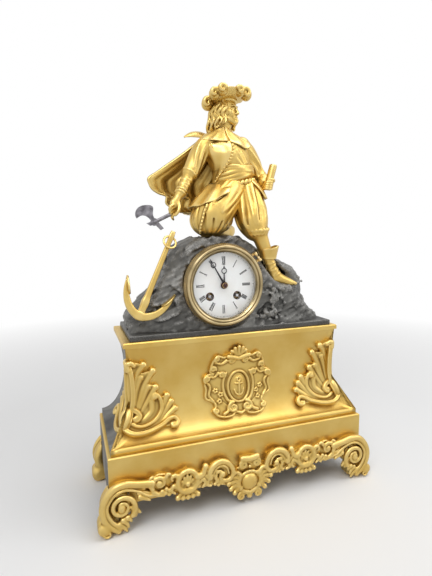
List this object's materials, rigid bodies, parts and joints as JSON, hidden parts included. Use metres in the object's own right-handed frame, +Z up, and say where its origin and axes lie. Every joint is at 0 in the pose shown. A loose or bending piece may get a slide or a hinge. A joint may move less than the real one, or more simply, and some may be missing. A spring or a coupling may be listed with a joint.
{
  "type": "figural mantel clock",
  "caption": "Mantel clock with a hollow-curved case on scroll feet, a rock that holds a round enamel dial and striking movement, and a kneeling figure above it.",
  "frame": {"origin": "on the table under the middle of the clock's box", "axes": "+X to the viewer's right, +Y to the back, +Z up"},
  "size_m": [0.362, 0.14, 0.5155],
  "materials": {
    "gilt_bronze": "satin gilding with burnished highlights",
    "patinated_bronze": "dark brown-black patina",
    "brass": "plain turned brass",
    "steel": "plain steel",
    "glass": "clear domed glass",
    "enamel": "fired white enamel with black numerals",
    "blued_steel": "dark blued steel",
    "bell_bronze": "turned bell metal"
  },
  "bodies": {
    "case": {"plinth_front": "gilt_bronze", "plinth_lid": "gilt_bronze", "body_front": "gilt_bronze", "cornice": "gilt_bronze", "front_apron": "gilt_bronze", "front_foot_left": "gilt_bronze", "front_foot_right": "gilt_bronze", "rear_foot_left": "gilt_bronze", "rear_foot_right": "gilt_bronze", "leaf_mount_front_left": "gilt_bronze", "leaf_mount_front_right": "gilt_bronze", "leaf_mount_side_left": "gilt_bronze", "leaf_mount_side_right": "gilt_bronze", "cartouche": "gilt_bronze", "anchor": "gilt_bronze", "anchor_ring": "gilt_bronze", "figure_torso": "gilt_bronze", "figure_head": "gilt_bronze", "figure_hat": "gilt_bronze", "figure_sash": "gilt_bronze", "figure_cape": "gilt_bronze", "figure_right_arm": "gilt_bronze", "figure_left_arm": "gilt_bronze", "figure_right_leg": "gilt_bronze", "figure_left_leg": "gilt_bronze", "scroll": "gilt_bronze", "bezel_seat": "gilt_bronze", "plinth_case": "patinated_bronze", "body_case": "patinated_bronze", "rock_terrace": "patinated_bronze", "boarding_axe": "patinated_bronze", "movement_drum": "brass", "front_plate": "brass", "back_plate": "brass", "plate_pillars": "brass", "suspension_cock": "brass", "apron_screws": "steel", "case_rods": "steel", "dial": "enamel", "bell": "bell_bronze"},
    "bezel_door": {"bezel": "gilt_bronze", "bezel_glass": "glass"},
    "minute_hand_set": {"minute_hand": "blued_steel", "cannon_pinion": "brass"},
    "minute_wheel_set": {"minute_wheel": "brass"},
    "hour_hand_set": {"hour_hand": "blued_steel", "hour_wheel": "brass"},
    "going_barrel_set": {"going_barrel": "brass"},
    "going_arbor_set": {"going_arbor": "steel"},
    "strike_barrel_set": {"strike_barrel": "brass"},
    "strike_arbor_set": {"strike_arbor": "steel"},
    "centre_wheel_set": {"centre_wheel": "brass"},
    "third_wheel_set": {"third_wheel": "brass"},
    "escape_wheel_set": {"escape_wheel": "brass"},
    "pallets_set": {"pallets": "steel"},
    "pendulum_set": {"pendulum": "brass"},
    "pin_wheel_set": {"pin_wheel": "brass"},
    "fly_set": {"fly": "brass"},
    "hammer_set": {"hammer": "steel"}
  },
  "joints": [
    {"name": "bezel_hinge", "type": "hinge", "parent": "case", "child": "bezel_door", "pos_m": [0.02534, -0.0318, 0.29986], "axis": [-0.6157, 0, 0.788], "range_deg": [0, 80]},
    {"name": "minute_hand_turn", "type": "hinge", "parent": "case", "child": "minute_hand_set", "pos_m": [-0.018, 0, 0.266], "axis": [0, 1, 0], "continuous": true},
    {"name": "minute_wheel_turn", "type": "hinge", "parent": "case", "child": "minute_wheel_set", "pos_m": [-0.018, 0, 0.254], "axis": [0, 1, 0], "continuous": true},
    {"name": "hour_hand_turn", "type": "hinge", "parent": "case", "child": "hour_hand_set", "pos_m": [-0.018, 0, 0.266], "axis": [0, 1, 0], "continuous": true},
    {"name": "escape_wheel_turn", "type": "hinge", "parent": "case", "child": "escape_wheel_set", "pos_m": [-0.018, 0, 0.29258], "axis": [0, 1, 0], "continuous": true},
    {"name": "third_wheel_turn", "type": "hinge", "parent": "case", "child": "third_wheel_set", "pos_m": [-0.00597, 0, 0.28173], "axis": [0, 1, 0], "continuous": true},
    {"name": "centre_wheel_turn", "type": "hinge", "parent": "case", "child": "centre_wheel_set", "pos_m": [-0.018, 0, 0.266], "axis": [0, 1, 0], "continuous": true},
    {"name": "going_barrel_turn", "type": "hinge", "parent": "case", "child": "going_barrel_set", "pos_m": [-0.0002, 0, 0.2526], "axis": [0, 1, 0], "continuous": true},
    {"name": "going_winding", "type": "hinge", "parent": "case", "child": "going_arbor_set", "pos_m": [-0.0002, 0, 0.2526], "axis": [0, 1, 0], "range_deg": [0, 1800]},
    {"name": "strike_winding", "type": "hinge", "parent": "case", "child": "strike_arbor_set", "pos_m": [-0.0358, 0, 0.2526], "axis": [0, 1, 0], "range_deg": [0, 1800]},
    {"name": "fly_turn", "type": "hinge", "parent": "case", "child": "fly_set", "pos_m": [-0.03601, 0, 0.28997], "axis": [0, 1, 0], "continuous": true},
    {"name": "pin_wheel_turn", "type": "hinge", "parent": "case", "child": "pin_wheel_set", "pos_m": [-0.04001, 0, 0.27448], "axis": [0, 1, 0], "continuous": true},
    {"name": "strike_barrel_turn", "type": "hinge", "parent": "case", "child": "strike_barrel_set", "pos_m": [-0.0358, 0, 0.2526], "axis": [0, 1, 0], "continuous": true},
    {"name": "pendulum_swing", "type": "hinge", "parent": "case", "child": "pendulum_set", "pos_m": [-0.018, 0.026, 0.30408], "axis": [0, 1, 0], "range_deg": [-4, 4]},
    {"name": "pallets_rock", "type": "hinge", "parent": "case", "child": "pallets_set", "pos_m": [-0.018, 0, 0.30408], "axis": [0, 1, 0], "range_deg": [-4, 4]},
    {"name": "hammer_lift", "type": "hinge", "parent": "case", "child": "hammer_set", "pos_m": [-0.0285, 0.0345, 0.28], "axis": [0, 1, 0], "range_deg": [-2, 16]}
  ],
  "couplings": [
    {"joint": "minute_wheel_turn", "follows": "minute_hand_turn", "ratio": -0.33333},
    {"joint": "hour_hand_turn", "follows": "minute_hand_turn", "ratio": 0.083333},
    {"joint": "third_wheel_turn", "follows": "escape_wheel_turn", "ratio": -0.08},
    {"joint": "centre_wheel_turn", "follows": "escape_wheel_turn", "ratio": 0.008},
    {"joint": "going_barrel_turn", "follows": "escape_wheel_turn", "ratio": -0.0011429},
    {"joint": "pin_wheel_turn", "follows": "fly_turn", "ratio": -0.11111},
    {"joint": "strike_barrel_turn", "follows": "fly_turn", "ratio": 0.015873},
    {"joint": "pallets_rock", "follows": "pendulum_swing", "ratio": 1}
  ]
}
